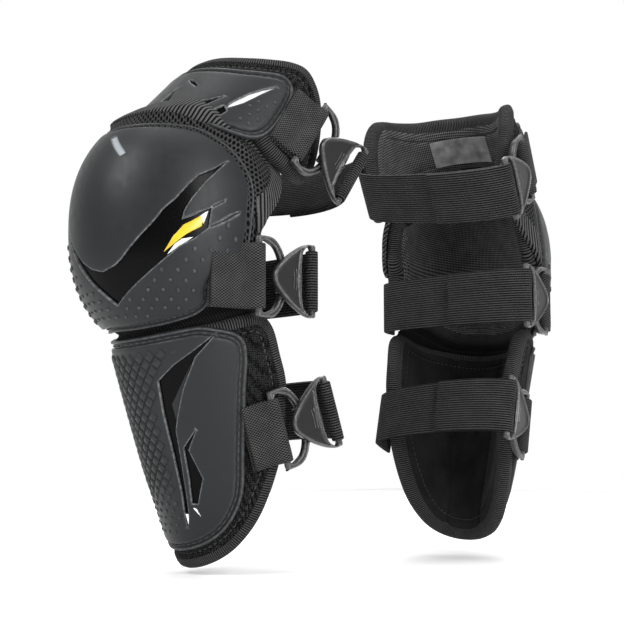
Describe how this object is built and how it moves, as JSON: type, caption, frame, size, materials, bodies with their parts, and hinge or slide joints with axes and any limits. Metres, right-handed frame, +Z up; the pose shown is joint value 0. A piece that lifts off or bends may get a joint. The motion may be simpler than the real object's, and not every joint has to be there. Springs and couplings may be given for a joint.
{
  "type": "knee guards",
  "caption": "Mirrored pair of hinged motorcycle knee guards with domed knee shells, ridged shin and thigh plates, padded mesh bodies and hooked elastic straps.",
  "frame": {"origin": "the left knee's bending centre, inside the left guard", "axes": "+X to the wearer's left, -Y to the left guard's front, +Z up along the leg"},
  "size_m": [0.1683, 0.4167, 0.3359],
  "materials": {
    "pad_fabric": "black woven fabric over foam",
    "liner_mesh": "black open mesh lining",
    "shell_plastic": "dark grey satin shell",
    "side_mesh": "black hexagonal mesh",
    "white_trim": "silver-white gloss",
    "gloss_trim": "gloss black",
    "yellow_trim": "bright yellow gloss",
    "label_satin": "grey satin",
    "webbing": "black woven webbing",
    "elastic": "black ribbed elastic",
    "buckle_plastic": "dark grey moulded plastic"
  },
  "bodies": {
    "left_knee": {"left_knee_pad": "pad_fabric", "left_knee_liner": "liner_mesh", "left_knee_cup": "shell_plastic", "left_knee_collar": "side_mesh", "left_knee_flash": "gloss_trim", "left_knee_blade": "yellow_trim", "left_knee_anchor": "webbing", "left_knee_strap": "elastic", "left_upper_gusset": "liner_mesh", "left_lower_gusset": "liner_mesh"},
    "left_thigh": {"left_thigh_pad": "pad_fabric", "left_thigh_liner": "liner_mesh", "left_thigh_shell": "shell_plastic", "left_thigh_leaf": "white_trim", "left_thigh_label": "label_satin", "left_thigh_anchor": "webbing", "left_thigh_strap": "elastic"},
    "left_shin": {"left_shin_pad": "pad_fabric", "left_shin_liner": "liner_mesh", "left_shin_shell": "shell_plastic", "left_shin_slot": "gloss_trim", "left_shin_anchor": "webbing", "left_shin_strap": "elastic"},
    "left_thigh_ring": {"left_thigh_ring": "buckle_plastic"},
    "left_thigh_hook": {"left_thigh_hook": "buckle_plastic"},
    "left_knee_ring": {"left_knee_ring": "buckle_plastic"},
    "left_knee_hook": {"left_knee_hook": "buckle_plastic"},
    "left_shin_ring": {"left_shin_ring": "buckle_plastic"},
    "left_shin_hook": {"left_shin_hook": "buckle_plastic"},
    "right_knee": {"right_knee_pad": "pad_fabric", "right_knee_liner": "liner_mesh", "right_knee_cup": "shell_plastic", "right_knee_collar": "side_mesh", "right_knee_flash": "gloss_trim", "right_knee_blade": "yellow_trim", "right_knee_anchor": "webbing", "right_knee_strap": "elastic", "right_upper_gusset": "liner_mesh", "right_lower_gusset": "liner_mesh"},
    "right_thigh": {"right_thigh_pad": "pad_fabric", "right_thigh_liner": "liner_mesh", "right_thigh_shell": "shell_plastic", "right_thigh_leaf": "white_trim", "right_thigh_label": "label_satin", "right_thigh_anchor": "webbing", "right_thigh_strap": "elastic"},
    "right_shin": {"right_shin_pad": "pad_fabric", "right_shin_liner": "liner_mesh", "right_shin_shell": "shell_plastic", "right_shin_slot": "gloss_trim", "right_shin_anchor": "webbing", "right_shin_strap": "elastic"},
    "right_thigh_ring": {"right_thigh_ring": "buckle_plastic"},
    "right_thigh_hook": {"right_thigh_hook": "buckle_plastic"},
    "right_knee_ring": {"right_knee_ring": "buckle_plastic"},
    "right_knee_hook": {"right_knee_hook": "buckle_plastic"},
    "right_shin_ring": {"right_shin_ring": "buckle_plastic"},
    "right_shin_hook": {"right_shin_hook": "buckle_plastic"}
  },
  "joints": [
    {"name": "right_guard_apart", "type": "slide", "parent": "left_knee", "child": "right_knee", "axis": [0, 1, 0], "range_m": [0, 0.15]},
    {"name": "left_thigh_flex", "type": "hinge", "parent": "left_knee", "child": "left_thigh", "pos_m": [0, 0, 0], "axis": [-1, 0, 0], "range_deg": [-2, 30], "deforming": ["left_upper_gusset"]},
    {"name": "left_shin_flex", "type": "hinge", "parent": "left_knee", "child": "left_shin", "pos_m": [0, 0, 0], "axis": [1, 0, 0], "range_deg": [-2, 9], "deforming": ["left_lower_gusset"]},
    {"name": "left_thigh_ring_swing", "type": "hinge", "parent": "left_thigh", "child": "left_thigh_ring", "pos_m": [0.066, 0.04894, 0.05884], "axis": [0, 0.5446, 0.8387], "range_deg": [0, 6]},
    {"name": "left_thigh_hook_swing", "type": "hinge", "parent": "left_thigh", "child": "left_thigh_hook", "pos_m": [0.06549, 0.0836, 0.03633], "axis": [0, 0.5446, 0.8387], "range_deg": [0, 60]},
    {"name": "left_knee_ring_swing", "type": "hinge", "parent": "left_knee", "child": "left_knee_ring", "pos_m": [0.0655, 0.01, -0.035], "axis": [0, 0, 1], "range_deg": [0, 6]},
    {"name": "left_knee_hook_swing", "type": "hinge", "parent": "left_knee", "child": "left_knee_hook", "pos_m": [0.06499, 0.05133, -0.035], "axis": [0, 0, 1], "range_deg": [0, 60]},
    {"name": "left_shin_ring_swing", "type": "hinge", "parent": "left_shin", "child": "left_shin_ring", "pos_m": [0.0555, 0.03318, -0.12801], "axis": [0, -0.309, 0.9511], "range_deg": [0, 5]},
    {"name": "left_shin_hook_swing", "type": "hinge", "parent": "left_shin", "child": "left_shin_hook", "pos_m": [0.05788, 0.07243, -0.11526], "axis": [0, -0.309, 0.9511], "range_deg": [0, 60]},
    {"name": "right_thigh_flex", "type": "hinge", "parent": "right_knee", "child": "right_thigh", "pos_m": [-0.01, 0.263, 0.006], "axis": [0.9135, 0.4067, 0], "range_deg": [-2, 30], "deforming": ["right_upper_gusset"]},
    {"name": "right_shin_flex", "type": "hinge", "parent": "right_knee", "child": "right_shin", "pos_m": [-0.01, 0.263, 0.006], "axis": [-0.9135, -0.4067, 0], "range_deg": [-2, 9], "deforming": ["right_lower_gusset"]},
    {"name": "right_thigh_ring_swing", "type": "hinge", "parent": "right_thigh", "child": "right_thigh_ring", "pos_m": [0.0702, 0.24513, 0.06484], "axis": [-0.2215, 0.4976, -0.8387], "range_deg": [0, 6]},
    {"name": "right_thigh_hook_swing", "type": "hinge", "parent": "right_thigh", "child": "right_thigh_hook", "pos_m": [0.08384, 0.21326, 0.04233], "axis": [-0.2215, 0.4976, -0.8387], "range_deg": [0, 60]},
    {"name": "right_knee_ring_swing", "type": "hinge", "parent": "right_knee", "child": "right_knee_ring", "pos_m": [0.05391, 0.28051, -0.029], "axis": [0, 0, -1], "range_deg": [0, 6]},
    {"name": "right_knee_hook_swing", "type": "hinge", "parent": "right_knee", "child": "right_knee_hook", "pos_m": [0.07025, 0.24254, -0.029], "axis": [0, 0, -1], "range_deg": [0, 60]},
    {"name": "right_shin_ring_swing", "type": "hinge", "parent": "right_shin", "child": "right_shin_ring", "pos_m": [0.0542, 0.25526, -0.12201], "axis": [0.1257, -0.2823, -0.9511], "range_deg": [0, 5]},
    {"name": "right_shin_hook_swing", "type": "hinge", "parent": "right_shin", "child": "right_shin_hook", "pos_m": [0.07233, 0.22037, -0.10926], "axis": [0.1257, -0.2823, -0.9511], "range_deg": [0, 60]}
  ]
}
